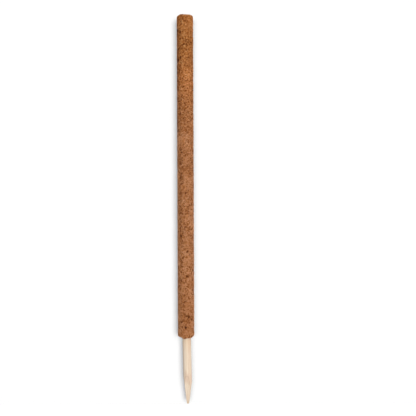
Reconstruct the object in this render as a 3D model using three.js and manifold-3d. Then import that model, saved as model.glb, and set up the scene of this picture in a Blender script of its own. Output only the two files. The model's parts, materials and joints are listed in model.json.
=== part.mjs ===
// A coir moss pole: a coir mat glued round a plastic core tube, on a pointed wooden stake held by a nail.
// Millimetres, +Z up. The origin is on the pole's axis at the mat's lower end, which is the soil line.
// The front is -Y, and a turn is an angle in degrees, seen from above, from the front towards +X.

import * as THREE from 'three';
import { mergeVertices } from 'three/addons/utils/BufferGeometryUtils.js';
import loadManifold from 'manifold-3d';

const wasm = await loadManifold();
wasm.setup();

// Clearances
const touchGap = 0.3; // between pieces that touch
const stakePlay = 1.1; // all round the stake, where it stands in the tube

// Wooden stake
const stakeDiameter = 17;
const stakeBelowMat = 140;
const stakeInTube = 80;
const stakeTopChamfer = 1.5;

// Hand-cut flats of the stake's point: where each faces, how far it stays from the stake's middle at the tip,
// and how far above the tip it runs out on the round
const pointFlats = [
  { turn: -8, tipReach: 2.6, height: 58 },
  { turn: 86, tipReach: 2.2, height: 50 },
  { turn: 145, tipReach: 2.5, height: 64 },
  { turn: 207, tipReach: 2.4, height: 60 },
  { turn: 273, tipReach: 3, height: 52 },
];

// Core tube
const tubeWall = 1.4;
const tubeEndRecess = 2; // of each tube end, inside the mat's end

// Coir mat
const matLength = 660;
const matThickness = 5.7;
const matEdgeRounding = 1;
const seamTurn = -35;

// Glue bead in the bottom of the mat's seam
const glueWidth = 0.8;
const glueDepth = 2.6;
const glueEndRecess = 4; // of each bead end, inside the mat's end

// Nail through the mat and the tube into the stake
const nailHeight = 20;
const nailDiameter = 1.8;
const nailLength = 18;
const nailPoint = 3;
const nailHeadDiameter = 4.4;
const nailHeadThickness = 1;
const nailSink = 2.4; // of the head's face, below the mat's surface
const dimpleDiameter = 8; // of the pressed-in felt round the head, at the mat's surface

// How finely round surfaces are faceted
const stakeSegments = 48;
const tubeSegments = 64;
const matArcDivisions = 36;
const nailSegments = 16;
const edgeSegments = 2;

// Sizes that follow from the ones above
const stakeRadius = stakeDiameter / 2;
const tubeInnerRadius = stakeRadius + stakePlay;
const tubeRadius = tubeInnerRadius + tubeWall;
const matInnerRadius = tubeRadius + touchGap;
const matRadius = matInnerRadius + matThickness;
const seamWidth = glueWidth + 2 * touchGap;
const stakeTip = -stakeBelowMat;

// The stake leans in its play until it touches the tube near its top end and at the tube's mouth
const leanSpan = stakeInTube - tubeEndRecess;
const leanHeight = tubeEndRecess + leanSpan / 2;
const stakeLean = Math.atan((stakePlay - touchGap) / (leanSpan / 2));

const coirFelt = new THREE.MeshStandardMaterial({ color: 0x9f6842, roughness: 0.95, metalness: 0 });
const paleWood = new THREE.MeshStandardMaterial({ color: 0xeed8c0, roughness: 0.7, metalness: 0 });
const greyPlastic = new THREE.MeshStandardMaterial({ color: 0x9a9c9b, roughness: 0.5, metalness: 0 });
const driedLatex = new THREE.MeshStandardMaterial({ color: 0xd9c79a, roughness: 0.6, metalness: 0 });
const wireSteel = new THREE.MeshStandardMaterial({ color: 0x6e6a66, roughness: 0.45, metalness: 1 });

// A closed geometry as a solid that can be cut
function solidFrom(geometry) {
  geometry.deleteAttribute('normal');
  geometry.deleteAttribute('uv');
  const merged = mergeVertices(geometry);
  const corners = merged.index.array;
  const triVerts = [];
  for (let i = 0; i < corners.length; i += 3) {
    const [a, b, c] = corners.slice(i, i + 3);
    const flat = a === b || b === c || c === a;
    if (!flat) triVerts.push(a, b, c);
  }
  const vertProperties = merged.attributes.position.array;
  const mesh = new wasm.Mesh({ numProp: 3, vertProperties, triVerts: new Uint32Array(triVerts) });
  return new wasm.Manifold(mesh);
}

function geometryFrom(solid) {
  const { vertProperties, triVerts } = solid.getMesh();
  const geometry = new THREE.BufferGeometry();
  geometry.setAttribute('position', new THREE.BufferAttribute(vertProperties, 3));
  geometry.setIndex(new THREE.BufferAttribute(triVerts, 1));
  geometry.computeVertexNormals();
  return geometry;
}

function piece(name, geometry, material) {
  const mesh = new THREE.Mesh(geometry, material);
  mesh.name = name;
  return mesh;
}

// A profile of [radius, height] pairs turned round the Z axis
function turned(profile, segments) {
  const points = profile.map(([radius, height]) => new THREE.Vector2(radius, height));
  return new THREE.LatheGeometry(points, segments).rotateX(Math.PI / 2);
}

// A nail lying along Y with its point to the back. Grown by a clearance, it is the hole that the nail sits in.
function nailGeometry(clearance) {
  const shank = nailDiameter / 2 + clearance;
  const head = nailHeadDiameter / 2 + clearance;
  const face = -(matRadius - nailSink) - clearance;
  const underHead = face + nailHeadThickness + 2 * clearance;
  const tip = underHead + nailLength;
  const profile = [
    [0, face],
    [head, face],
    [head, underHead],
    [shank, underHead],
    [shank, tip - nailPoint],
    [0, tip],
  ];
  return turned(profile, nailSegments).rotateX(-Math.PI / 2);
}

// The pressed-in dimple in the felt, a cone from the mat's surface down to the nail's head
function dimpleGeometry() {
  const floor = matRadius - nailSink - nailHeadThickness - touchGap;
  const floorRadius = nailHeadDiameter / 2 + touchGap;
  const widening = (dimpleDiameter / 2 - floorRadius) / (matRadius - floor);
  const mouth = matRadius + matThickness;
  const mouthRadius = floorRadius + widening * (mouth - floor);
  const profile = [
    [0, floor],
    [floorRadius, floor],
    [mouthRadius, mouth],
    [0, mouth],
  ];
  return turned(profile, nailSegments).rotateX(Math.PI / 2);
}

// The wedge of wood outside one flat of the point, for a stake that stands upright
function flatCutter({ turn, tipReach, height }) {
  const size = 3 * height;
  const slope = Math.atan((stakeRadius - tipReach) / height);
  const cutter = new THREE.BoxGeometry(size, size, size);
  cutter.translate(0, -size / 2, 0);
  cutter.rotateX(slope);
  cutter.translate(0, -tipReach, stakeTip);
  cutter.rotateZ(THREE.MathUtils.degToRad(turn));
  return cutter;
}

function stakeGeometry() {
  const profile = [
    [0, stakeTip],
    [stakeRadius, stakeTip],
    [stakeRadius, stakeInTube - stakeTopChamfer],
    [stakeRadius - stakeTopChamfer, stakeInTube],
    [0, stakeInTube],
  ];
  let stake = solidFrom(turned(profile, stakeSegments));
  for (const flat of pointFlats) {
    stake = stake.subtract(solidFrom(flatCutter(flat)));
  }
  const leaning = geometryFrom(stake);
  leaning.translate(0, 0, -leanHeight);
  leaning.rotateY(-stakeLean);
  leaning.translate(0, 0, leanHeight);
  return leaning;
}

function tubeGeometry() {
  const low = tubeEndRecess;
  const high = matLength - tubeEndRecess;
  const profile = [
    [tubeInnerRadius, low],
    [tubeRadius, low],
    [tubeRadius, high],
    [tubeInnerRadius, high],
    [tubeInnerRadius, low],
  ];
  return turned(profile, tubeSegments);
}

// The mat as a ring with one slit, its two edges parallel across the seam
function matGeometry() {
  const front = -Math.PI / 2;
  const outerHalf = Math.asin(seamWidth / 2 / matRadius);
  const innerHalf = Math.asin(seamWidth / 2 / matInnerRadius);
  const ring = new THREE.Shape();
  ring.absarc(0, 0, matRadius, front + outerHalf, front + 2 * Math.PI - outerHalf, false);
  ring.absarc(0, 0, matInnerRadius, front + 2 * Math.PI - innerHalf, front + innerHalf, true);
  const mat = new THREE.ExtrudeGeometry(ring, {
    depth: matLength - 2 * matEdgeRounding,
    curveSegments: matArcDivisions,
    bevelThickness: matEdgeRounding,
    bevelSize: matEdgeRounding,
    bevelOffset: -matEdgeRounding,
    bevelSegments: edgeSegments,
  });
  mat.translate(0, 0, matEdgeRounding);
  mat.rotateZ(THREE.MathUtils.degToRad(seamTurn));
  return mat;
}

const nailHole = solidFrom(nailGeometry(touchGap).translate(0, 0, nailHeight));
const dimple = solidFrom(dimpleGeometry().translate(0, 0, nailHeight));

const mossPole = new THREE.Group();

const pierced = solidFrom(matGeometry()).subtract(dimple).subtract(nailHole);
mossPole.add(piece('coir_mat', geometryFrom(pierced), coirFelt));

const drilledTube = solidFrom(tubeGeometry()).subtract(nailHole);
mossPole.add(piece('core_tube', geometryFrom(drilledTube), greyPlastic));

const nailedStake = solidFrom(stakeGeometry()).subtract(nailHole);
mossPole.add(piece('wooden_stake', geometryFrom(nailedStake), paleWood));

const nail = piece('stake_nail', geometryFrom(solidFrom(nailGeometry(0))), wireSteel);
nail.position.z = nailHeight;
mossPole.add(nail);

// The bead lies along the tube, in a group turned to the seam
const glueLength = matLength - 2 * glueEndRecess;
const glue = piece('seam_glue', new THREE.BoxGeometry(glueWidth, glueDepth, glueLength), driedLatex);
glue.position.set(0, -(matInnerRadius + glueDepth / 2), matLength / 2);
const seam = new THREE.Group();
seam.rotation.z = THREE.MathUtils.degToRad(seamTurn);
seam.add(glue);
mossPole.add(seam);

export default mossPole;
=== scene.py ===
import json
import math

import bmesh
import bpy
import numpy as np
from mathutils import Matrix, Vector, noise


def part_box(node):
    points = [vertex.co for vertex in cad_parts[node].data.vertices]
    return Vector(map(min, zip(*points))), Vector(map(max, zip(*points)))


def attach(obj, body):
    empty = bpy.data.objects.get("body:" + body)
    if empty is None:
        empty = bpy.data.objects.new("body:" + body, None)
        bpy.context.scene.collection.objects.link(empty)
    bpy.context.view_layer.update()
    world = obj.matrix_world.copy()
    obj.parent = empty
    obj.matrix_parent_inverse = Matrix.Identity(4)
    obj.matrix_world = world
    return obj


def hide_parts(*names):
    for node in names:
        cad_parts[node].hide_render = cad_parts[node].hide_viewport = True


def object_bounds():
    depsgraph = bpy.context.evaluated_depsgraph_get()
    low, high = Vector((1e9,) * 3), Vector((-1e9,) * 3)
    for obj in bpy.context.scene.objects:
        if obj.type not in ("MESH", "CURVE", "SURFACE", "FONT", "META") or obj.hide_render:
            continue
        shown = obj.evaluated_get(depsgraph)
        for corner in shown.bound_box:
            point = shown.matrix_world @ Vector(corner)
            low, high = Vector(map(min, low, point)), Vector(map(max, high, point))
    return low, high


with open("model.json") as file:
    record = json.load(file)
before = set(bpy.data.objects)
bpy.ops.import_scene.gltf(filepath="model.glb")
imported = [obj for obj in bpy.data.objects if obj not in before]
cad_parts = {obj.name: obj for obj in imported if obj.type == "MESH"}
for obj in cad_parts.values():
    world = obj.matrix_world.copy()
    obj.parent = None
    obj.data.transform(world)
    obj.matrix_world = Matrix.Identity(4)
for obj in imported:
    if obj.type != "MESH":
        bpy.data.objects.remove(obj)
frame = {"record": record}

# A coir moss pole: needled coconut felt round a core tube, on a pointed wooden stake held by a nail.
# Metres, +Z up, front is -Y. A turn is an angle in degrees from the front towards +X, seen from above.

cadLow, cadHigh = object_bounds()
mm = 0.001
matLow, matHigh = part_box("coir_mat")
tubeLow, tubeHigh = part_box("core_tube")
nailLow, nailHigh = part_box("stake_nail")
glueLow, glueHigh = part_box("seam_glue")
mounts = {mount["name"]: mount for mount in frame["record"]["mounts"]}
scene = bpy.context.scene


# Helpers for materials

# Each input gets a link from another node's output, or a plain value
def feed(tree, node, inputs):
    for key, value in inputs.items():
        if isinstance(value, bpy.types.NodeSocket):
            tree.links.new(value, node.inputs[key])
        else:
            node.inputs[key].default_value = value


def addNode(tree, kind, inputs=None, **settings):
    node = tree.nodes.new(kind)
    for key, value in settings.items():
        setattr(node, key, value)
    feed(tree, node, inputs or {})
    return node


def mathOf(tree, operation, first, second=0.0):
    return addNode(tree, "ShaderNodeMath", {0: first, 1: second}, operation=operation).outputs[0]


def rescale(tree, value, fromLow, fromHigh, toLow, toHigh):
    inputs = {"Value": value, "From Min": fromLow, "From Max": fromHigh, "To Min": toLow, "To Max": toHigh}
    return addNode(tree, "ShaderNodeMapRange", inputs).outputs["Result"]


# From nothing at one value to its full strength at another
def fadeIn(tree, value, start, full, strength):
    return rescale(tree, value, start, full, 0, strength)


def mixColours(tree, factor, first, second, blend="MIX"):
    inputs = {0: factor}
    for index, colour in ((6, first), (7, second)):
        inputs[index] = colour if isinstance(colour, bpy.types.NodeSocket) else (*colour, 1)
    return addNode(tree, "ShaderNodeMix", inputs, data_type="RGBA", blend_type=blend).outputs[2]


def rampOf(tree, value, stops):
    node = addNode(tree, "ShaderNodeValToRGB", {"Fac": value})
    elements = node.color_ramp.elements
    while len(elements) < len(stops):
        elements.new(0.5)
    for element, (place, colour) in zip(elements, stops):
        element.position = place
        element.color = (*colour, 1)
    return node.outputs["Color"]


def objectPlace(tree):
    return addNode(tree, "ShaderNodeTexCoord").outputs["Object"]


def mapped(tree, place, **changes):
    return addNode(tree, "ShaderNodeMapping", {"Vector": place, **changes}).outputs[0]


def splitOf(tree, place):
    return addNode(tree, "ShaderNodeSeparateXYZ", {0: place}).outputs


def noiseOf(tree, place, scale, detail, output="Fac"):
    inputs = {"Vector": place, "Scale": scale, "Detail": detail}
    return addNode(tree, "ShaderNodeTexNoise", inputs).outputs[output]


def attributeOf(tree, name):
    return addNode(tree, "ShaderNodeAttribute", attribute_name=name).outputs["Fac"]


def bumpOf(tree, height, strength, distance):
    inputs = {"Height": height, "Strength": strength, "Distance": distance}
    return addNode(tree, "ShaderNodeBump", inputs).outputs["Normal"]


def newGroup(name, inputs, outputs):
    tree = bpy.data.node_groups.new(name, "ShaderNodeTree")
    for way, sockets in (("INPUT", inputs), ("OUTPUT", outputs)):
        for socket, kind in sockets.items():
            tree.interface.new_socket(socket, in_out=way, socket_type="NodeSocket" + kind)
    return tree, addNode(tree, "NodeGroupInput").outputs


def newMaterial(name, gloss=0.5, metallic=0.0):
    material = bpy.data.materials.new(name)
    material.use_nodes = True
    tree = material.node_tree
    shader = tree.nodes["Principled BSDF"]
    feed(tree, shader, {"Specular IOR Level": gloss, "Metallic": metallic})
    return material, tree, shader


# Helpers for meshes

def turnedTo(turn, radius, z):
    angle = math.radians(turn)
    return Vector((math.sin(angle) * radius, -math.cos(angle) * radius, z))


# A full turn of an outline
def spunFrom(outline, sides, axis=(0, 0, 1), centre=(0, 0, 0), closed=False):
    bm = bmesh.new()
    profile = [bm.verts.new(place) for place in outline]
    pairs = list(zip(profile, profile[1:]))
    if closed:
        pairs.append((profile[-1], profile[0]))
    profile += [bm.edges.new(pair) for pair in pairs]
    bmesh.ops.spin(bm, geom=profile, cent=centre, axis=axis, angle=2 * math.pi, steps=sides, use_merge=True)
    bmesh.ops.remove_doubles(bm, verts=bm.verts, dist=0.001 * mm)
    return bm


def soften(bm, edges, offset):
    bmesh.ops.bevel(bm, geom=edges, offset=offset, affect="EDGES", segments=3, profile=0.5, material=-1)


def uprightsOf(bm, length):
    return [edge for edge in bm.edges if abs(edge.verts[0].co.z - edge.verts[1].co.z) > length / 2]


def meshFrom(bm, name, sharpFrom=None):
    bmesh.ops.recalc_face_normals(bm, faces=bm.faces)
    for face in bm.faces:
        face.smooth = True
    print(name, "has", sum(not edge.is_manifold for edge in bm.edges), "open edges")
    mesh = bpy.data.meshes.new(name)
    bm.to_mesh(mesh)
    bm.free()
    if sharpFrom:
        mesh.set_sharp_from_angle(angle=math.radians(sharpFrom))
    return mesh


def writeValues(mesh, name, values):
    attribute = mesh.attributes.new(name, "FLOAT", "POINT")
    attribute.data.foreach_set("value", np.asarray(values, np.float32))


def addPiece(name, mesh, material, node):
    piece = bpy.data.objects.new(name, mesh)
    scene.collection.objects.link(piece)
    mesh.materials.clear()
    mesh.materials.append(material)
    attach(piece, "root")
    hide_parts(node)
    print("made", name, "with", sum(len(face.vertices) - 2 for face in mesh.polygons), "triangles")
    return piece


# Camera: level, at the photograph's distance and place, rolled a little

photoCamera = {
    "place": (46.3 * mm, -1000 * mm, 263.9 * mm),
    "lens": 41.78,  # mm, on a sensor this wide
    "sensor": 36,
    "roll": -0.224,  # degrees
}


def makeCamera():
    data = bpy.data.cameras.new("photoCamera")
    data.lens = photoCamera["lens"]
    data.sensor_width = photoCamera["sensor"]
    data.clip_start = 10 * mm
    camera = bpy.data.objects.new("photoCamera", data)
    level = Matrix.Rotation(math.pi / 2, 4, "X")
    roll = Matrix.Rotation(math.radians(photoCamera["roll"]), 4, "Z")
    camera.matrix_world = Matrix.Translation(photoCamera["place"]) @ level @ roll
    scene.collection.objects.link(camera)
    scene.camera = camera


# Stage: white floor, white card close behind the pole for its soft shadow, and soft light

studio = {
    "skyLeft": 0.46,  # light from all round, as the pole gets it
    "skyRight": 0.86,
    "floorSize": 8.0,
    "floorDrop": 10 * mm,  # below the stake's tip
    "floorWhite": 0.40,
    "floorGlow": 0.71,
    "cardSize": (1.7, 1.5),
    "cardGap": 0.4 * mm,  # behind the felt
    "cardWhite": 0.06,
    "cardGlow": 0.064,
    # turn, elevation and spread of each lamp in degrees, and its strength
    "key": (12, 14, 27, 1.45),
    "side": (70, 5, 28, 0.08),
    "back": (192, 22, 25, 1.7),
    # these two light the card alone
    "leftShadow": (16.5, 4, 38, 33.4),
    "rightShadow": (-10, 6, 33, 14.5),
}


# Lit and glowing on its front, clear from behind
def paperMaterial(name):
    material = bpy.data.materials.new(name + "Paper")
    material.use_nodes = True
    tree = material.node_tree
    tree.nodes.clear()
    white = studio[name + "White"]
    lit = addNode(tree, "ShaderNodeBsdfDiffuse", {"Color": (white, white, white, 1)})
    glowing = addNode(tree, "ShaderNodeEmission", {"Strength": studio[name + "Glow"]})
    front = addNode(tree, "ShaderNodeAddShader", {0: lit.outputs[0], 1: glowing.outputs[0]})
    clear = addNode(tree, "ShaderNodeBsdfTransparent")
    back = addNode(tree, "ShaderNodeNewGeometry").outputs["Backfacing"]
    sides = addNode(tree, "ShaderNodeMixShader", {0: back, 1: front.outputs[0], 2: clear.outputs[0]})
    addNode(tree, "ShaderNodeOutputMaterial", {"Surface": sides.outputs[0]})
    return material


def addPaper(name, matrix):
    bm = bmesh.new()
    bmesh.ops.create_grid(bm, x_segments=1, y_segments=1, size=0.5, matrix=matrix)
    mesh = bpy.data.meshes.new(name)
    bm.to_mesh(mesh)
    bm.free()
    mesh.materials.append(paperMaterial(name))
    sheet = bpy.data.objects.new(name, mesh)
    scene.collection.objects.link(sheet)
    for ray in ("diffuse", "glossy", "transmission", "shadow", "volume_scatter"):
        setattr(sheet, "visible_" + ray, False)  # only the camera sees the paper
    return sheet


def addLamp(name, lit=None):
    turn, elevation, spread, strength = studio[name]
    data = bpy.data.lights.new(name, "SUN")
    data.angle = math.radians(spread)
    data.energy = strength
    lamp = bpy.data.objects.new(name, data)
    toLamp = turnedTo(turn, math.cos(math.radians(elevation)), math.sin(math.radians(elevation)))
    aimed = (-toLamp).to_track_quat("-Z", "Y").to_matrix().to_4x4()
    lamp.matrix_world = Matrix.Translation(2 * toLamp) @ aimed
    scene.collection.objects.link(lamp)
    if lit:
        lamp.light_linking.receiver_collection = lit


# White to the camera, softer for the pole and stronger from the right
def makeSky():
    world = bpy.data.worlds.new("whiteStudio")
    scene.world = world
    world.use_nodes = True
    tree = world.node_tree
    tree.nodes.clear()
    direction = addNode(tree, "ShaderNodeTexCoord").outputs["Generated"]
    given = rescale(tree, splitOf(tree, direction)["X"], -1, 1, studio["skyLeft"], studio["skyRight"])
    seen = addNode(tree, "ShaderNodeLightPath").outputs["Is Camera Ray"]
    strength = rescale(tree, seen, 0, 1, given, 1.0)
    sky = addNode(tree, "ShaderNodeBackground", {"Color": (1, 1, 1, 1), "Strength": strength})
    addNode(tree, "ShaderNodeOutputWorld", {"Surface": sky.outputs[0]})


def makeStage():
    floorZ = cadLow.z - studio["floorDrop"]
    addPaper("floor", Matrix.Translation((0, 0, floorZ)) @ Matrix.Scale(studio["floorSize"], 4))
    width, height = studio["cardSize"]
    cardPlace = (photoCamera["place"][0], matHigh.y + studio["cardGap"], floorZ + height / 2)
    upright = Matrix.Translation(cardPlace) @ Matrix.Rotation(math.pi / 2, 4, "X")
    card = addPaper("card", upright @ Matrix.Diagonal((width, height, 1, 1)))
    cardAlone = bpy.data.collections.new("cardAlone")
    cardAlone.objects.link(card)
    for lamp in ("key", "side", "back"):
        addLamp(lamp)
    for lamp in ("leftShadow", "rightShadow"):
        addLamp(lamp, cardAlone)
    makeSky()
    scene.view_settings.view_transform = "Standard"
    print("stage ready")


# Coir colour, shared by the felt and its fibres

coirLook = {
    "tones": (
        (0.0, (0.10, 0.021, 0.003)), (0.25, (0.32, 0.106, 0.026)),
        (0.5, (0.50, 0.194, 0.065)), (1.0, (0.82, 0.46, 0.25)),
    ),
    # patches and flecks: size, detail, and how much darker and lighter they get
    "clouds": ((26 * mm, 2, -0.07, 0.07), (1.3 * mm, 1, -0.12, 0.08)),
    "rough": (0.92, 0.66),  # of dark and of light coir
    # shares of the felt's height and tints: more orange towards the top, a little darker at the bottom
    "tints": (
        (0.0, (0.96, 0.95, 0.93)), (0.08, (1, 1, 1)), (0.62, (1, 1, 1)), (0.70, (0.98, 0.94, 0.82)),
        (0.80, (1.13, 1.055, 0.84)), (0.89, (0.92, 0.83, 0.54)), (1.0, (1.07, 0.99, 0.69)),
    ),
    "fibreGloss": 0.25,
    "feltGloss": 0.15,
}


def coirColourGroup():
    tree, given = newGroup("coirColour", {"Tone": "Float"}, {"Colour": "Color", "Rough": "Float"})
    tone = given["Tone"]
    place = objectPlace(tree)
    for size, detail, darker, lighter in coirLook["clouds"]:
        cloud = noiseOf(tree, place, 1 / size, detail)  # 0.5 in its middle
        tone = mathOf(tree, "ADD", tone, rescale(tree, cloud, 0.3, 0.5, darker, 0))
        tone = mathOf(tree, "ADD", tone, rescale(tree, cloud, 0.5, 0.7, 0, lighter))
    colour = rampOf(tree, tone, coirLook["tones"])
    height = rescale(tree, splitOf(tree, place)["Z"], matLow.z, matHigh.z, 0, 1)
    tint = rampOf(tree, height, coirLook["tints"])
    tinted = mixColours(tree, 1.0, colour, tint, "MULTIPLY")
    rough = rescale(tree, tone, 0.2, 0.8, *coirLook["rough"])
    addNode(tree, "NodeGroupOutput", {"Colour": tinted, "Rough": rough})
    return tree


def addCoir(tree, shader, group, tone):
    coir = addNode(tree, "ShaderNodeGroup", {"Tone": tone}, node_tree=group).outputs
    feed(tree, shader, {"Base Color": coir["Colour"], "Roughness": coir["Rough"]})


def fibreMaterial(group):
    material, tree, shader = newMaterial("coirFibre", coirLook["fibreGloss"])
    # the tone attribute holds each fibre's own tone and the painted shade of the felt under it
    addCoir(tree, shader, group, attributeOf(tree, "tone"))
    return material


# Fine strands on the felt laid flat: thin lines where stretched, warped noise crosses its middle

strands = {
    "turns": (0.3, 1.2, 2.0, 2.8),  # radians, of each layer
    "apart": 0.8 * mm,
    "length": 9 * mm,
    "bend": 2.5 * mm,
    "bendSize": 7 * mm,
    "line": (0.015, 0.05),  # where a line fades out, from the noise's middle
    "faintest": 0.25,
    "tones": (0.16, 0.62),  # between the strands, and on them
    "relief": 0.4 * mm,
}


def strandGroup():
    tree, given = newGroup("feltStrands", {"Map": "Vector", "Turn": "Float"}, {"Strand": "Float"})
    bends = noiseOf(tree, given["Map"], 1 / strands["bendSize"], 1, "Color")
    bending = {0: bends, 1: (strands["bend"], strands["bend"], 0), 2: given["Map"]}
    bent = addNode(tree, "ShaderNodeVectorMath", bending, operation="MULTIPLY_ADD").outputs[0]
    turning = {"Vector": bent, "Angle": given["Turn"]}
    turned = addNode(tree, "ShaderNodeVectorRotate", turning, rotation_type="Z_AXIS").outputs[0]
    drawn = mapped(tree, turned, Scale=(1 / strands["apart"], 1 / strands["length"], 1))
    fromMiddle = mathOf(tree, "ABSOLUTE", mathOf(tree, "SUBTRACT", noiseOf(tree, drawn, 1, 1), 0.5))
    line = rescale(tree, fromMiddle, *strands["line"], 1, 0)
    own = rescale(tree, noiseOf(tree, drawn, 0.45, 0), 0.3, 0.7, strands["faintest"], 1)
    addNode(tree, "NodeGroupOutput", {"Strand": mathOf(tree, "MULTIPLY", line, own)})
    return tree


def feltMaterial(group):
    material, tree, shader = newMaterial("coirFelt", coirLook["feltGloss"])
    laidFlat = addNode(tree, "ShaderNodeUVMap", uv_map="feltMap").outputs[0]
    oneLayer = strandGroup()
    height = 0.0
    for turn in strands["turns"]:
        layer = addNode(tree, "ShaderNodeGroup", {"Map": laidFlat, "Turn": turn}, node_tree=oneLayer)
        height = mathOf(tree, "MAXIMUM", layer.outputs["Strand"], height)
    strandTone = rescale(tree, height, 0, 1, *strands["tones"])
    # the tone attribute brings in the felt's painted shade
    addCoir(tree, shader, group, mathOf(tree, "ADD", strandTone, attributeOf(tree, "tone")))
    feed(tree, shader, {"Normal": bumpOf(tree, height, 0.8, strands["relief"])})
    return material


# Felt: one needled mat wrapped round the tube, its two edges meeting in a seam

felt = {
    "radius": 16.45 * mm,  # of the felt under its outer fibres
    "innerGap": 0.3 * mm,  # to the tube
    "layers": 4,
    "columns": 72,
    "rows": 440,
    "lump": 0.12 * mm,
    "lumpSize": 14 * mm,
    "dent": 2.9 * mm,
    "dentSize": 2.4 * mm,
    "dentFrom": 0.10,  # of the noise that places the dents
    "dentTilt": Matrix.Rotation(0.8, 3, Vector((1.0, 0.6, 0.3))),  # so that the noise's rows don't line up
    "dentShift": Vector((5, 3, 1)),
    "clusterSize": 27 * mm,  # dents are deeper in some places than in others
    "cluster": 0.9,
    # painted light: tufts get a lighter colour, as if raised this far
    "tuft": 0.5 * mm,  # how much lighter the tufts between the dents are, as if this far up
    # smoother places: mm up, reach in mm, and how much smoother
    "calmPlaces": ((660, 20, 0.45), (535, 25, 0.2), (410, 28, 0.3), (64, 17, 0.5)),
    # painted shade: dents and pits darken the felt's colour by their depth
    "dentShade": 0.335,  # darker by this for each mm of depth
    "pitShade": 0.45,
    "pitFull": 2 * mm,  # no darker below this
    "rimRound": 0.7 * mm,
    "seamTurn": -35,
    "seamGap": 0.12 * mm,  # each side of the seam's middle
    "seamWander": 0.4,  # share of the gap
    "wanderSize": 11 * mm,
    "seamGape": 0.8 * mm,
    "seamRound": 2.0 * mm,
    "seamSink": 0.1 * mm,
    # mm up the seam, and how far it gapes there
    "seamGapes": (
        (623.5, 0.8), (570.7, 1.0), (456.9, 1.1), (354.9, 0.7), (326.0, 0.8),
        (296.5, 0.7), (206.8, 1.1), (156.8, 0.6), (116.0, 0.6),
    ),
    "gapeHeight": 3.1 * mm,
    "gapeWidth": 1.9 * mm,
    "gapeDepth": 1.5 * mm,
    # mm up, turn, and size in mm
    "hollows": (
        (124.6, 11, 2.7), (35.4, 51.5, 2.0), (41.5, 25.5, 2.0), (294.6, 2, 1.6),
        # those at turns -60 to -63 darken the felt's left edge with the pits' painted shade
        (628, -62, 2.2), (567, -60, 3.2), (526, -63, 2.0), (506, -62, 2.6), (424, -62, 2.4),
    ),
    "hollowDepth": 2.0 * mm,
    # painted shade at the felt's two edges, as darker fibres there: mm up, turn, how far up and round in
    # mm, and how much darker
    "paintedEdgeShades": ((550, -69, 105, 6.5, 0.27), (515, 69, 62, 7, 0.14)),
    "nailDip": 2.6 * mm,  # down to the nail's head
    "nailDipSize": 2.0 * mm,
    "trimReach": 20 * mm,  # from the hand-trimmed ends
    # trimmed ends: turn, degrees to each side, and mm further out
    "topTrim": ((-24, 20, 0.5), (-62, 22, -0.6), (4, 32, -1.2), (75, 25, 0.1)),
    "lowTrim": ((-11, 20, 2.6), (36, 24, 1.8), (0, 80, 0.3)),
    "reliefStep": 0.8 * mm,
    "mapDepth": 3 * mm,  # how much of the strands' map the thickness takes
}
matLength = matHigh.z - matLow.z
feltInner = tubeHigh.x + felt["innerGap"]
feltRound = 2 * math.pi * felt["radius"]
nailZ = (nailLow.z + nailHigh.z) / 2
nailAround = -felt["seamTurn"] / 360 * feltRound  # from the seam


def bell(distance, size):
    return math.exp(-(distance / size) ** 2)


def arcBetween(turn, otherTurn):
    apart = (turn - otherTurn + 180) % 360 - 180
    return math.radians(apart) * felt["radius"]


def seamGape(z):
    return max(gape * bell(z - height * mm, felt["gapeHeight"]) for height, gape in felt["seamGapes"])


def seamHalf(z):
    wander = 1 + felt["seamWander"] * noise.noise((0, 7, z / felt["wanderSize"]))
    return felt["seamGap"] * wander + felt["seamGape"] * seamGape(z)


# Small dents between the felt's tufts: above nought in a dent, below it on a tuft
def dentDepth(turn, z):
    place = turnedTo(turn, felt["radius"], z)
    spot = felt["dentTilt"] @ place / felt["dentSize"] + felt["dentShift"]
    calm = 1 - sum(less * bell(z - height * mm, reach * mm) for height, reach, less in felt["calmPlaces"])
    cluster = 1 + felt["cluster"] * noise.noise(place / felt["clusterSize"])
    return calm * cluster * felt["dent"] * (noise.noise(spot) - felt["dentFrom"])


# How deep a place lies in the felt's pits: the nail's dip, the hollows and the seam
def pitDepth(turn, z):
    depth = felt["nailDip"] * bell(math.hypot(arcBetween(turn, 0), z - nailZ), felt["nailDipSize"])
    for height, hollowTurn, size in felt["hollows"]:
        away = math.hypot(arcBetween(turn, hollowTurn), z - height * mm)
        depth += felt["hollowDepth"] * bell(away, size * mm)
    fromSeam = arcBetween(turn, felt["seamTurn"])
    depth += felt["gapeDepth"] * seamGape(z) * bell(fromSeam, felt["gapeWidth"])
    return depth + felt["seamSink"] * max(0, 1 - abs(fromSeam) / felt["seamRound"]) ** 2


def feltRadius(turn, z):
    lump = felt["lump"] * noise.noise(turnedTo(turn, felt["radius"], z) / felt["lumpSize"])
    rimRound = felt["rimRound"]
    fromEnd = min(max(min(z - matLow.z, matHigh.z - z), 0), rimRound)
    rim = rimRound - math.sqrt(rimRound ** 2 - (rimRound - fromEnd) ** 2)
    return felt["radius"] + lump - rim - max(0, dentDepth(turn, z)) - pitDepth(turn, z)


# Painted light and shade in the felt's colour: lighter on tufts, darker in dents and pits by their depth,
# and darker at the painted edge shades
def feltTone(turn, z):
    dent = max(-felt["tuft"], dentDepth(turn, z))
    pit = min(pitDepth(turn, z), felt["pitFull"])
    tone = -(felt["dentShade"] * dent + felt["pitShade"] * pit) / mm
    for height, edgeTurn, reachUp, reachRound, darker in felt["paintedEdgeShades"]:
        inEdgeShade = bell(arcBetween(turn, edgeTurn), reachRound * mm) * bell(z - height * mm, reachUp * mm)
        tone -= darker * inEdgeShade
    return tone


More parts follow.
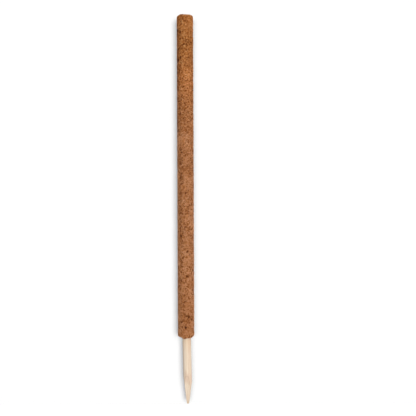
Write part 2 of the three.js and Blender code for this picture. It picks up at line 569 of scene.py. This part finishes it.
# The felt's radius and painted shade on a grid of turns and heights, which its pieces then read
def measureRelief():
    turns = np.linspace(0, 360, round(feltRound / felt["reliefStep"]) + 1)
    heights = np.linspace(matLow.z, matHigh.z, round(matLength / felt["reliefStep"]) + 1)
    radii = np.array([[feltRadius(turn, z) for turn in turns] for z in heights])
    tones = np.array([[feltTone(turn, z) for turn in turns] for z in heights])
    print("relief measured at", radii.size, "places")
    return radii, tones


def readRelief(values, turns, heights):
    rows, columns = values.shape
    column = (np.asarray(turns) % 360) / 360 * (columns - 1)
    row = np.clip((np.asarray(heights) - matLow.z) / matLength, 0, 1) * (rows - 1)
    left = np.minimum(column.astype(int), columns - 2)
    low = np.minimum(row.astype(int), rows - 2)
    right, up = column - left, row - low
    lower = values[low, left] * (1 - right) + values[low, left + 1] * right
    upper = values[low + 1, left] * (1 - right) + values[low + 1, left + 1] * right
    return lower * (1 - up) + upper * up


# The hand-trimmed ends aren't quite square
def trimmed(turns, heights):
    change = 0
    for end, outward, trims in ((matHigh.z, 1, felt["topTrim"]), (matLow.z, -1, felt["lowTrim"])):
        near = np.clip(1 - np.abs(end - heights) / felt["trimReach"], 0, 1)
        for turn, reach, more in trims:
            swell = np.exp(-((((turns - turn + 180) % 360) - 180) / reach) ** 2)
            change = change + outward * more * mm * swell * near
    return heights + change


def cylinderPoints(turns, radii, heights):
    angles = np.radians(turns)
    return np.stack([np.sin(angles) * radii, -np.cos(angles) * radii, heights], -1)


def onFelt(turns, heights, lifts):
    radii = readRelief(reliefRadii, turns, heights) + lifts
    return cylinderPoints(turns, radii, trimmed(turns, heights))


def makeFelt(material):
    bm = bmesh.new()
    across = felt["radius"] - feltInner
    row = [bm.verts.new((feltInner + across * i / felt["layers"], 0, 0)) for i in range(felt["layers"] + 1)]
    row += [bm.edges.new(pair) for pair in zip(row, row[1:])]
    sweep = math.radians(350)  # the seam's true width comes below
    bmesh.ops.spin(bm, geom=row, axis=(0, 0, 1), angle=sweep, steps=felt["columns"])
    raised = bmesh.ops.extrude_face_region(bm, geom=bm.faces[:])
    raisedVerts = [part for part in raised["geom"] if isinstance(part, bmesh.types.BMVert)]
    bmesh.ops.translate(bm, vec=(0, 0, matLength), verts=raisedVerts)
    uprights = uprightsOf(bm, matLength)
    bmesh.ops.subdivide_edges(bm, edges=uprights, cuts=felt["rows"] - 1, use_grid_fill=True)
    places = np.array([vert.co for vert in bm.verts])
    share = (np.arctan2(places[:, 1], places[:, 0]) % (2 * math.pi)) / sweep
    share = np.where(share > 1.01, 0, share)  # the first column, if rounded below nought
    depth = (np.hypot(places[:, 0], places[:, 1]) - feltInner) / across
    heights = matLow.z + places[:, 2]
    half = np.degrees([seamHalf(z) / felt["radius"] for z in heights])
    turns = felt["seamTurn"] + half + share * (360 - 2 * half)
    radii = feltInner + depth * (readRelief(reliefRadii, turns, heights) - feltInner)
    places = cylinderPoints(turns, radii, trimmed(turns, heights))
    for vert, place in zip(bm.verts, places):
        vert.co = place
    unrollFelt(bm, turns, heights, depth)
    mesh = meshFrom(bm, "coir_felt")
    # the felt's painted shade, written as its tone
    writeValues(mesh, "tone", readRelief(paintedShades, turns, heights))
    return addPiece("coir_felt", mesh, material, "coir_mat")


# A map of the felt laid flat, in metres, for strands that follow its surface
def unrollFelt(bm, turns, heights, depth):
    layer = bm.loops.layers.uv.new("feltMap")
    bm.verts.index_update()
    around = (turns - felt["seamTurn"]) / 360 * feltRound
    up = heights + felt["mapDepth"] * depth
    for face in bm.faces:
        for loop in face.loops:
            loop[layer].uv = (around[loop.vert.index], up[loop.vert.index])


# Fibres: curly coir lying on the felt in several webs, from the deepest to the outermost

webs = {
    # rows and columns of locks, fibres in a lock, lift of their middles in mm, tone and thickness
    "layers": (
        (120, 20, 1, -0.25, 0.34, 1.7),
        (58, 9, 5, -0.12, 0.41, 1.4),
        (120, 20, 1, -0.02, 0.46, 1.3),
        (58, 9, 6, 0.10, 0.49, 1.1),
        (120, 20, 1, 0.18, 0.52, 1.0),
        (58, 9, 6, 0.26, 0.54, 1.0),
        (120, 20, 1, 0.32, 0.56, 0.95),
        (58, 9, 6, 0.38, 0.58, 0.95),
        (58, 9, 6, 0.44, 0.60, 0.9),
    ),
    "sides": 3,  # of a fibre's section
    "points": 12,
    "length": (9 * mm, 20 * mm),
    "flow": 0.10,  # how far locks turn from upright to lying round the pole
    "thickness": (0.10 * mm, 0.20 * mm),  # radius
    "taper": 0.6,
    "curl": 95.0,  # most turning, in radians per metre
    "wave": 0.35,  # radians
    "waveLength": (8 * mm, 16 * mm),
    # how a lock's fibres differ
    "spread": 0.6 * mm,
    "lengthSpread": (0.75, 1.15),
    "headingSpread": 0.13,
    "curlSpread": 14,
    "phaseSpread": 0.7,
    "bob": 0.24 * mm,  # over and under their neighbours
    "bobTurns": (3, 11),
    "dive": 0.6 * mm,  # of their ends into the felt
    "toneSpread": 0.15,
    "fibreToneSpread": 0.12,
    "edgeRoom": 0.25 * mm,  # from the mat's end faces and its seam
    "overSeam": 0.85,  # share of locks that lie across the seam
    "nailRoom": 2.4 * mm,  # fibres part round the nail's head
    "nailClear": 1.5 * mm,  # and none crosses it
    "seed": 31,
}


def turnsAt(around):
    return felt["seamTurn"] + around / feltRound * 360


# Lines on the unrolled felt, as distances round from the seam and heights
def fibreLines(rng, rows, columns, group):
    count = rows * columns
    size = count * group
    row, column = np.divmod(np.arange(count), columns)

    def spreadOut(lockValues, spread):
        return (np.repeat(lockValues, group) + rng.normal(0, spread, size))[:, None]

    lockLength = np.repeat(rng.uniform(*webs["length"], count), group)
    length = (lockLength * rng.uniform(*webs["lengthSpread"], size))[:, None]
    heading = rng.uniform(0, 2 * math.pi, count)
    heading = spreadOut(heading - webs["flow"] * np.sin(2 * heading), webs["headingSpread"])
    curl = spreadOut(rng.uniform(-webs["curl"], webs["curl"], count), webs["curlSpread"])
    phase = spreadOut(rng.uniform(0, 2 * math.pi, count), webs["phaseSpread"])
    waveLength = np.repeat(rng.uniform(*webs["waveLength"], count), group)[:, None]
    around = spreadOut((column + rng.uniform(0, 1, count)) / columns * feltRound, webs["spread"])
    up = spreadOut(matLow.z + (row + rng.uniform(0, 1, count)) / rows * matLength, webs["spread"])
    along = np.linspace(-0.5, 0.5, webs["points"]) * length
    sway = webs["wave"] * np.sin(2 * math.pi * along / waveLength + phase)
    angle = heading + curl * along + sway
    step = length / (webs["points"] - 1)
    runAround, runUp = np.cos(angle) * step, np.sin(angle) * step
    around = around + np.cumsum(runAround, 1) - runAround.sum(1, keepdims=True) / 2
    up = up + np.cumsum(runUp, 1) - runUp.sum(1, keepdims=True) / 2
    room = webs["edgeRoom"]
    crosses = np.repeat(rng.uniform(0, 1, count) < webs["overSeam"], group)[:, None]
    around = np.where(crosses, around, pushInside(around, room, feltRound - room))
    return partRoundNail(around, pushInside(up, matLow.z + room, matHigh.z - room))


# A line that runs over an edge of the mat is slid back onto it
def pushInside(lines, low, high):
    lines = lines + np.maximum(low - lines.min(1, keepdims=True), 0)
    return lines - np.maximum(lines.max(1, keepdims=True) - high, 0)


def partRoundNail(around, up):
    besides, above = around - nailAround, up - nailZ
    away = np.hypot(besides, above) + 0.01 * mm  # never nought
    parted = np.hypot(away, webs["nailRoom"] * np.exp(-away / webs["nailRoom"]))
    return nailAround + besides * parted / away, nailZ + above * parted / away


# False for a line that still crosses the nail's head
def missesNail(around, up):
    besides, above = around - nailAround, up - nailZ
    between = np.hypot(besides[:, 1:] + besides[:, :-1], above[:, 1:] + above[:, :-1]) / 2
    return np.minimum(np.hypot(besides, above).min(1), between.min(1)) > webs["nailClear"]


def sectionCurve():
    curve = bpy.data.curves.new("fibreSection", "CURVE")
    curve.dimensions = "2D"
    spline = curve.splines.new("POLY")
    spline.points.add(webs["sides"] - 1)
    for corner, point in enumerate(spline.points):
        angle = -2 * math.pi * corner / webs["sides"]
        point.co = (math.cos(angle), math.sin(angle), 0, 1)
    spline.use_cyclic_u = True
    section = bpy.data.objects.new("fibreSection", curve)
    scene.collection.objects.link(section)
    return section


# The section swept along the fibres' lines. Each fibre gets its tone, its cell of the map and closed tips.
def addFibres(name, lines, radii, tones, material, section):
    curve = bpy.data.curves.new(name, "CURVE")
    curve.dimensions = "3D"
    curve.bevel_mode = "OBJECT"
    curve.bevel_object = section
    count, points = lines.shape[:2]
    places = np.ones((count, points, 4))
    places[:, :, :3] = lines
    radii = np.broadcast_to(radii, (count, points)).copy()
    radii[:, [0, -1]] = 0.0002 * mm  # the tips, merged below
    tones = np.broadcast_to(tones, (count, points))
    for place, radius in zip(places, radii):
        spline = curve.splines.new("POLY")
        spline.points.add(points - 1)
        spline.points.foreach_set("co", place.ravel())
        spline.points.foreach_set("radius", radius)
    holder = bpy.data.objects.new(name + "Lines", curve)
    scene.collection.objects.link(holder)
    depsgraph = bpy.context.evaluated_depsgraph_get()
    mesh = bpy.data.meshes.new_from_object(holder.evaluated_get(depsgraph))
    bpy.data.objects.remove(holder)
    bpy.data.curves.remove(curve)
    mesh.name = name
    writeValues(mesh, "tone", np.repeat(tones.ravel(), webs["sides"]))
    layFibresOnMap(mesh, count, points)
    bm = bmesh.new()
    bm.from_mesh(mesh)
    bmesh.ops.remove_doubles(bm, verts=bm.verts, dist=0.001 * mm)
    bm.to_mesh(mesh)
    bm.free()
    mesh.shade_smooth()
    return addPiece(name, mesh, material, "coir_mat")


def layFibresOnMap(mesh, count, points):
    sides = webs["sides"]
    corners = np.empty(len(mesh.loops), np.int32)
    mesh.loops.foreach_get("vertex_index", corners)
    corners = corners.reshape(-1, 4)
    fibre, side = corners // (sides * points), corners % sides
    point = corners // sides % points
    wraps = (side.max(1) - side.min(1) == sides - 1)[:, None] & (side == 0)
    side = np.where(wraps, sides, side)
    cells = math.ceil(math.sqrt(count))  # a fibre takes the middle 0.8 of its cell
    u = (fibre % cells + 0.1 + 0.8 * point / (points - 1)) / cells
    v = (fibre // cells + 0.1 + 0.8 * side / sides) / cells
    layer = mesh.uv_layers.active
    layer.name = "OFBake"
    layer.data.foreach_set("uv", np.stack([u, v], -1).ravel().astype(np.float32))


# Draws one number for each fibre, as a column
def randomColumns(rng, size):
    return lambda low, high: rng.uniform(low, high, (size, 1))


def webFibres():
    rng = np.random.default_rng(webs["seed"])
    share = np.linspace(-1, 1, webs["points"])
    for number, (rows, columns, group, middle, tone, thickness) in enumerate(webs["layers"], 1):
        around, up = fibreLines(rng, rows, columns, group)
        turns = turnsAt(around)
        drawn = randomColumns(rng, len(around))
        bob = webs["bob"] * np.sin(drawn(0, 6.3) + share * drawn(*webs["bobTurns"]))
        lines = onFelt(turns, up, middle * mm + bob - webs["dive"] * np.abs(share) ** 5)
        lockTone = np.repeat(rng.normal(0, webs["toneSpread"], rows * columns), group)
        fibreTone = tone + lockTone + rng.normal(0, webs["fibreToneSpread"], len(around))
        radii = thickness * drawn(*webs["thickness"]) * (1 - webs["taper"] * np.abs(share) ** 3)
        # each fibre's own tone plus the painted shade of the felt under it
        tones = fibreTone[:, None] + readRelief(paintedShades, turns, up)
        kept = missesNail(around, up)
        yield "coir_web_" + str(number), lines[kept], radii[kept], tones[kept]


# Strays: fibres that stand off the felt

strays = {
    "count": 380,
    "length": (7 * mm, 17 * mm),
    "curl": 140,  # most turning, in radians per metre
    "rise": (0.5 * mm, 2.2 * mm),
    "root": 0.2 * mm,  # into the felt
    "arch": 0.7,  # share of the rise
    "archPower": (0.7, 1.6),  # where along a fibre its arch is highest
    "free": 0.5,  # share with a free end
    "thickness": (0.06 * mm, 0.10 * mm),
    "taper": 0.5,
    "tone": 0.6,
    "toneSpread": 0.16,
    "seed": 77,
}


def strayFibres():
    rng = np.random.default_rng(strays["seed"])
    size, points = strays["count"], webs["points"]
    drawn = randomColumns(rng, size)
    share = np.linspace(0, 1, points)
    length, heading = drawn(*strays["length"]), drawn(0, 2 * math.pi)
    angle = heading + drawn(-strays["curl"], strays["curl"]) * length * share
    step = length / (points - 1)
    around = drawn(0, feltRound) + np.cumsum(np.cos(angle) * step, 1)
    up = drawn(matLow.z, matHigh.z) + np.cumsum(np.sin(angle) * step, 1)
    up = pushInside(up, matLow.z + webs["edgeRoom"], matHigh.z - webs["edgeRoom"])
    arch = np.sin(math.pi * share ** drawn(*strays["archPower"]))  # springing free in the middle
    freeEnd = share * (drawn(0, 1) < strays["free"])
    rise = drawn(*strays["rise"]) * np.maximum(arch * strays["arch"], freeEnd)
    lifts = rise - strays["root"] * (1 - share)
    radii = drawn(*strays["thickness"]) * (1 - strays["taper"] * share)
    tones = strays["tone"] + rng.normal(0, strays["toneSpread"], (size, 1))
    return "coir_strays", onFelt(turnsAt(around), up, lifts), radii, tones


# Streak: a few pale fibres lying side by side round the front

streak = {
    "height": 616 * mm,
    "turns": (-27, 29),
    "starts": (0, 0.35),  # shares of these turns
    "lengths": (0.45, 0.65),
    "fibres": 9,
    "spread": 0.9 * mm,  # up and down
    "sway": 0.5 * mm,
    "swayStart": (0, 6),  # radians
    "swayTurns": (2, 6),
    "lift": 0.55 * mm,
    "dive": 0.6 * mm,
    "tone": 0.92,
    "toneSpread": 0.1,
    "seed": 79,
}


def streakFibres():
    drawn = randomColumns(np.random.default_rng(streak["seed"]), streak["fibres"])
    share = np.linspace(0, 1, webs["points"])
    start, end = streak["turns"]
    turns = start + (end - start) * (drawn(*streak["starts"]) + share * drawn(*streak["lengths"]))
    up = streak["height"] + drawn(-streak["spread"], streak["spread"])
    up = up + streak["sway"] * np.sin(drawn(*streak["swayStart"]) + share * drawn(*streak["swayTurns"]))
    lifts = streak["lift"] - streak["dive"] * np.abs(2 * share - 1) ** 5
    radii = drawn(*webs["thickness"])
    tones = streak["tone"] + drawn(-streak["toneSpread"], streak["toneSpread"])
    return "coir_streak", onFelt(turns, up, lifts), radii, tones


# Cut ends: stubs that stand on the felt's two end faces, and fibres that lie on them

cutEnds = {
    # on each face: count, length, lean (1 lies flat), how much of it runs across the felt, and tone
    "stubs": (1000, (1.2 * mm, 3.2 * mm), (0.2, 1.0), 1, 0.44),
    "lying": (420, (4 * mm, 11 * mm), (0.97, 1.0), 0.35, 0.5),
    "stubRise": 0.45,
    "stubRoot": 0.5 * mm,  # into the felt
    "lyingArch": (0.036 * mm, 0.12 * mm),
    "lyingLift": (-0.05 * mm, 0.12 * mm),
    "roots": (feltInner + 0.5 * mm, felt["radius"] - 0.7 * mm),
    "room": (feltInner + 0.2 * mm, felt["radius"] - felt["rimRound"]),
    "thickness": (0.09 * mm, 0.16 * mm),
    "taper": 0.4,
    "toneSpread": 0.15,
    "points": 7,
    "seed": 78,
}


def cutFibres():
    rng = np.random.default_rng(cutEnds["seed"])
    share = np.linspace(0, 1, cutEnds["points"])
    bunches = []
    for face, outward in ((matLow.z, -1), (matHigh.z, 1)):
        for kind in ("stubs", "lying"):
            size, lengths, leans, across, tone = cutEnds[kind]
            drawn = randomColumns(rng, size)
            length, heading, lean = drawn(*lengths), drawn(0, 2 * math.pi), drawn(*leans)
            root, turn = drawn(*cutEnds["roots"]), drawn(0, 360)
            flat = length * share * lean
            radius = np.clip(root + flat * np.cos(heading) * across, *cutEnds["room"])
            turns = turn + np.degrees(flat * np.sin(heading) / radius)
            stub = length * share * np.sqrt(1 - lean ** 2) * cutEnds["stubRise"] - cutEnds["stubRoot"]
            arch = drawn(*cutEnds["lyingArch"]) * np.sin(math.pi * share) + drawn(*cutEnds["lyingLift"])
            heights = face + outward * (stub if kind == "stubs" else arch)
            lines = cylinderPoints(turns, radius, trimmed(turns, heights))
            radii = drawn(*cutEnds["thickness"]) * (1 - cutEnds["taper"] * share)
            tones = tone + rng.normal(0, cutEnds["toneSpread"], (size, 1))
            bunches.append((lines, radii, tones))
    return "coir_cut_ends", *(np.concatenate(parts) for parts in zip(*bunches))


# Stake: a pale round softwood stake with a hand-cut point, leaning in the tube's play

inSoil = mounts["stake_in_soil"]["dims"]
stakeTip = -inSoil["length_mm"] * mm
stake = {
    "radius": inSoil["r_mm"] * mm,
    "inTube": 80 * mm,
    "topChamfer": 1.5 * mm,
    "sides": 128,
    "ringStep": 1.25 * mm,
    # the point's flats: turn, mm from the middle at the tip, and mm up to where each runs out
    "flats": ((-8, 2.6, 58), (86, 1.9, 40), (145, 2.5, 64), (207, 2.4, 60), (273, 3.0, 52)),
    "softEdge": 0.25 * mm,
    "knifeWave": 0.16 * mm,  # ripples of the knife along a flat
    "knifeStroke": 17 * mm,
    "bite": 0.7 * mm,  # of the knife where a flat starts
    "cutDepth": 0.4 * mm,  # from this depth of cut on there is no painted step shade
    "uneven": 0.12 * mm,
    "lean": 1.175,  # degrees
    "leanHeight": 41 * mm,
    "shift": 0.25 * mm,  # against the tube's right side
    "gloss": 0.3,
    "rough": (0.58, 0.74),  # of early and of late wood
    "pale": (0.855, 0.722, 0.563),
    "late": (0.62, 0.45, 0.31),
    "ringWidth": 3.4 * mm,
    "pith": (38 * mm, 24 * mm, 0),
    "grainStretch": 0.035,
    "fineGrain": 2600,  # noise per metre
    "broadGrain": 260,
    "grainRelief": 0.25 * mm,
    # where late wood, streaks and veins start and are full in their patterns, and their strength
    "lateWood": (0.4, 1.0, 0.85),
    "streaks": (0.42, 0.72, 0.55),
    "veins": (0.48, 0.66, 0.75),
    "veinWidth": 1.5 * mm,
    # other tints, with their start, full place and strength across the stake or up it
    # painted highlight: paler over the left half, most just left of the middle
    "paintedHighlight": (0.95, 0.82, 0.65),  # left of the middle
    "highlightRise": (-6 * mm, -1 * mm, 0.1, 0.4),
    "highlightFall": (0, 6 * mm, 0.4, 0),
    # painted shade: darker towards the stake's right edge
    "rightShade": (0.66, 0.50, 0.37),  # on the right side
    "rightShadeFade": (3.5 * mm, 9.5 * mm, 0.4),
    "coirBounce": (0.67, 0.40, 0.20),  # painted reflected light from the coir and painted shade, just under the felt
    "coirBounceFade": (-34 * mm, -8.5 * mm, 0.28),
    "stained": (0.58, 0.47, 0.34),  # at the tip
    # painted shade of the knife's step where each flat begins
    "stainFade": (stakeTip + 10 * mm, stakeTip, 0.5),
    "stepShade": (0.50, 0.35, 0.24),
    "stepShadeStrength": 2.4,
    "blush": (0.66, 0.46, 0.34),
    "blushFrom": -101 * mm,  # a pinker stretch where the point begins
    "blushTo": -69 * mm,
    "blushRagged": 24 * mm,
    "blushLift": 0.26,
    "blushFade": (0.5, 0.75, 0.65),
}


def blushOf(tree, broad, height):
    middle = (stake["blushFrom"] + stake["blushTo"]) / 2
    half = stake["blushTo"] - middle
    ragged = rescale(tree, broad, 0, 1, middle - stake["blushRagged"], middle + stake["blushRagged"])
    apart = mathOf(tree, "ABSOLUTE", mathOf(tree, "SUBTRACT", height, ragged))
    near = rescale(tree, apart, 0.4 * half, half, stake["blushLift"], 0)
    return fadeIn(tree, mathOf(tree, "ADD", broad, near), *stake["blushFade"])


def woodMaterial():
    material, tree, shader = newMaterial("paleSoftwood", stake["gloss"])
    place = objectPlace(tree)
    upright = mapped(tree, place, Rotation=(0, math.radians(stake["lean"]), 0), Location=stake["pith"])
    drawn = mapped(tree, upright, Scale=(1, 1, stake["grainStretch"]))
    waveScale = 2 * math.pi / 20 / stake["ringWidth"]
    waves = {"Vector": drawn, "Scale": waveScale, "Distortion": 2.2, "Detail": 2, "Detail Scale": 0.7}
    ringKind = {"wave_type": "RINGS", "rings_direction": "Z", "wave_profile": "SAW"}
    rings = addNode(tree, "ShaderNodeTexWave", waves, **ringKind).outputs["Fac"]
    fine = noiseOf(tree, drawn, stake["fineGrain"], 3)
    broad = noiseOf(tree, drawn, stake["broadGrain"], 2)
    late, streaks = fadeIn(tree, rings, *stake["lateWood"]), fadeIn(tree, fine, *stake["streaks"])
    grain = mathOf(tree, "MAXIMUM", late, streaks)
    colour = mixColours(tree, grain, stake["pale"], stake["late"])
    split = splitOf(tree, place)
    side, height = split["X"], split["Z"]
    rise, fall = rescale(tree, side, *stake["highlightRise"]), rescale(tree, side, *stake["highlightFall"])
    # painted shade of the knife's step, strongest where a flat begins
    cut = attributeOf(tree, "cut")
    nearStep = rescale(tree, cut, 0, 1, stake["stepShadeStrength"], 0)
    tints = {
        "late": fadeIn(tree, noiseOf(tree, drawn, 1 / stake["veinWidth"], 2), *stake["veins"]),
        "paintedHighlight": mathOf(tree, "MINIMUM", rise, fall),
        "rightShade": fadeIn(tree, side, *stake["rightShadeFade"]),
        "blush": blushOf(tree, broad, height),
        "coirBounce": fadeIn(tree, height, *stake["coirBounceFade"]),
        "stained": fadeIn(tree, height, *stake["stainFade"]),
        "stepShade": mathOf(tree, "MULTIPLY", cut, nearStep),  # most where a flat begins
    }
    for name, factor in tints.items():
        colour = mixColours(tree, factor, colour, stake[name])
    rough = rescale(tree, grain, 0, 0.6, *stake["rough"])
    bump = bumpOf(tree, fine, 0.35, stake["grainRelief"])
    feed(tree, shader, {"Base Color": colour, "Roughness": rough, "Normal": bump})
    return material


# From the stake's middle to its surface: the round, cut back by each flat with a soft edge between them
def stakeRadius(turn, z):
    reaches = [stake["radius"] + stake["uneven"] * noise.noise(turnedTo(turn, 1.3, z * 22))]
    for number, (flatTurn, tipReach, height) in enumerate(stake["flats"]):
        facing = math.cos(math.radians(turn - flatTurn))
        if facing > 0.2:
            share = (z - stakeTip) / (height * mm)
            stroke = noise.noise((number * 3.7, 0, z / stake["knifeStroke"]))  # each flat has its own
            away = tipReach * mm
            away += share * (stake["radius"] - away) + stake["knifeWave"] * stroke
            if share < 1:
                away -= stake["bite"] * share
            reaches.append(away / facing)
    least = min(reaches)
    soft = stake["softEdge"]
    return least - soft * math.log(sum(math.exp((least - reach) / soft) for reach in reaches))


def makeStake(material):
    radius, tip, top = stake["radius"], stakeTip, stake["inTube"]
    shoulder = top - stake["topChamfer"]
    rings = round((shoulder - tip) / stake["ringStep"])
    outline = [(0, 0, tip)] + [(radius, 0, tip + (shoulder - tip) * i / rings) for i in range(rings + 1)]
    outline += [(radius - stake["topChamfer"], 0, top), (0, 0, top)]
    bm = spunFrom(outline, stake["sides"])
    cuts = []
    for vert in bm.verts:
        cut = 0
        if vert.co.xy.length > radius / 2:
            turn = math.degrees(math.atan2(vert.co.x, -vert.co.y))
            reach = stakeRadius(turn, vert.co.z)
            cut = (radius - stake["uneven"] - reach) / stake["cutDepth"]
            vert.co.xy *= reach / radius
        cuts.append(min(max(cut, 0), 1))
    lean = Matrix.Rotation(-math.radians(stake["lean"]), 3, "Y")
    bmesh.ops.rotate(bm, cent=(0, 0, stake["leanHeight"]), matrix=lean, verts=bm.verts)
    bmesh.ops.translate(bm, vec=(stake["shift"], 0, 0), verts=bm.verts)
    mesh = meshFrom(bm, "wooden_stake_cut", sharpFrom=50)
    writeValues(mesh, "cut", cuts)
    addPiece("wooden_stake_cut", mesh, material, "wooden_stake")


# Core tube: an extruded plastic pipe with softened rims

tube = {
    "wall": 1.4 * mm,
    "sides": 96,
    "rimSoft": 0.35 * mm,
    "gloss": 0.45,
    "rough": (0.38, 0.62),
    "grey": (0.30, 0.31, 0.31),
    "dusty": (0.42, 0.40, 0.37),
    "dust": (0.45, 0.75, 0.7),  # start, full and strength in its noise
    "dustNoise": 220,  # per metre
    "lineNoise": 1800,
    "lineStretch": 0.02,
    "lineRelief": 0.1 * mm,
}


def plasticMaterial():
    material, tree, shader = newMaterial("pipeGrey", tube["gloss"])
    place = objectPlace(tree)
    drawn = mapped(tree, place, Scale=(1, 1, tube["lineStretch"]))
    lines = noiseOf(tree, drawn, tube["lineNoise"], 2)
    dust = noiseOf(tree, place, tube["dustNoise"], 4)
    colour = mixColours(tree, fadeIn(tree, dust, *tube["dust"]), tube["grey"], tube["dusty"])
    rough = rescale(tree, dust, 0.3, 0.7, *tube["rough"])
    bump = bumpOf(tree, lines, 0.08, tube["lineRelief"])
    feed(tree, shader, {"Base Color": colour, "Roughness": rough, "Normal": bump})
    return material


def makeTube(material):
    inner, outer = tubeHigh.x - tube["wall"], tubeHigh.x
    corners = ((inner, tubeLow.z), (outer, tubeLow.z), (outer, tubeHigh.z), (inner, tubeHigh.z))
    bm = spunFrom([(radius, 0, z) for radius, z in corners], tube["sides"], closed=True)
    rims = [edge for edge in bm.edges if edge.calc_length() < 0.9 * tube["wall"]]  # the shortest edges
    soften(bm, rims, tube["rimSoft"])
    addPiece("core_pipe", meshFrom(bm, "core_pipe", sharpFrom=40), material, "core_tube")


# Nail: a dull wire nail lying along Y, its head sunk in the felt

nail = {
    "sides": 24,
    "shank": 0.9 * mm,
    "headThickness": 1.0 * mm,
    "headCrown": 0.1 * mm,
    "headSoft": 0.25 * mm,
    "pointLength": 3.0 * mm,
    "rough": (0.42, 0.8),  # bare and rusty
    "steel": (0.06, 0.045, 0.038),
    "rust": (0.09, 0.032, 0.012),
    "rustNoise": 900,  # per metre
    "rustSpots": (0.45, 0.62, 1),  # start, full and strength
    "rustRelief": 0.1 * mm,
}


def steelMaterial():
    material, tree, shader = newMaterial("dullSteel", metallic=1.0)
    spots = noiseOf(tree, objectPlace(tree), nail["rustNoise"], 4)
    rusty = fadeIn(tree, spots, *nail["rustSpots"])
    colour = mixColours(tree, rusty, nail["steel"], nail["rust"])
    rough = rescale(tree, rusty, 0, 1, *nail["rough"])
    bump = bumpOf(tree, spots, 0.3, nail["rustRelief"])
    feed(tree, shader, {"Base Color": colour, "Roughness": rough, "Normal": bump})
    return material


def makeNail(material):
    head = (nailHigh.z - nailLow.z) / 2
    face, tip = nailLow.y, nailHigh.y
    soft, shank, crown = nail["headSoft"], nail["shank"], nail["headCrown"]
    under = face + nail["headThickness"]
    outline = (
        (0, face), (head - 2 * soft, face + crown / 5), (head - soft, face + crown),
        (head, face + soft + crown), (head, under - soft), (head - soft, under), (shank + soft, under),
        (shank, under + soft), (shank, tip - nail["pointLength"]), (0, tip),
    )
    places = [(radius, y, nailZ) for radius, y in outline]
    bm = spunFrom(places, nail["sides"], axis=(0, 1, 0), centre=(0, 0, nailZ))
    addPiece("wire_nail", meshFrom(bm, "wire_nail", sharpFrom=50), material, "stake_nail")


# Glue: an uneven bead of dried latex along the bottom of the seam

glue = {
    "width": 0.8 * mm,
    "depth": 2.6 * mm,
    "edgeSoft": 0.3 * mm,
    "rings": 220,
    "flow": (500, 300, 150),  # unevenness per metre across, inward and along
    "uneven": 0.12 * mm,
    "bulge": 0.25,  # share of the width
    "gloss": 0.4,
    "rough": (0.35, 0.6),
    "amber": (0.50, 0.36, 0.16),
    "milky": (0.72, 0.62, 0.40),
    "cloudNoise": 300,  # per metre
    "clouds": (0.35, 0.65, 1),  # start, full and strength
}


def latexMaterial():
    material, tree, shader = newMaterial("driedLatex", glue["gloss"])
    milky = fadeIn(tree, noiseOf(tree, objectPlace(tree), glue["cloudNoise"], 3), *glue["clouds"])
    colour = mixColours(tree, milky, glue["amber"], glue["milky"])
    feed(tree, shader, {"Base Color": colour, "Roughness": rescale(tree, milky, 0, 1, *glue["rough"])})
    return material


def makeGlue(material):
    bm = bmesh.new()
    length = glueHigh.z - glueLow.z
    bmesh.ops.create_cube(bm, size=1, matrix=Matrix.Diagonal((glue["width"], glue["depth"], length, 1)))
    soften(bm, uprightsOf(bm, length), glue["edgeSoft"])
    bmesh.ops.subdivide_edges(bm, edges=uprightsOf(bm, length), cuts=glue["rings"], use_grid_fill=True)
    for vert in bm.verts:
        flow = noise.noise(vert.co * Vector(glue["flow"]))
        vert.co.y += glue["uneven"] * flow
        vert.co.x *= 1 + glue["bulge"] * flow
    middle = feltInner + glue["depth"] / 2
    bmesh.ops.translate(bm, vec=(0, -middle, (glueLow.z + glueHigh.z) / 2), verts=bm.verts)
    bmesh.ops.rotate(bm, matrix=Matrix.Rotation(math.radians(felt["seamTurn"]), 3, "Z"), verts=bm.verts)
    addPiece("latex_bead", meshFrom(bm, "latex_bead"), material, "seam_glue")


makeCamera()
makeStage()
reliefRadii, paintedShades = measureRelief()
coirColour = coirColourGroup()
coirFibre = fibreMaterial(coirColour)
mat = makeFelt(feltMaterial(coirColour))
fibreSection = sectionCurve()
fibres = (*webFibres(), strayFibres(), streakFibres(), cutFibres())
matFibres = [addFibres(*each, coirFibre, fibreSection) for each in fibres]
bpy.data.objects.remove(fibreSection)
makeStake(woodMaterial())
makeTube(plasticMaterial())
makeNail(steelMaterial())
makeGlue(latexMaterial())
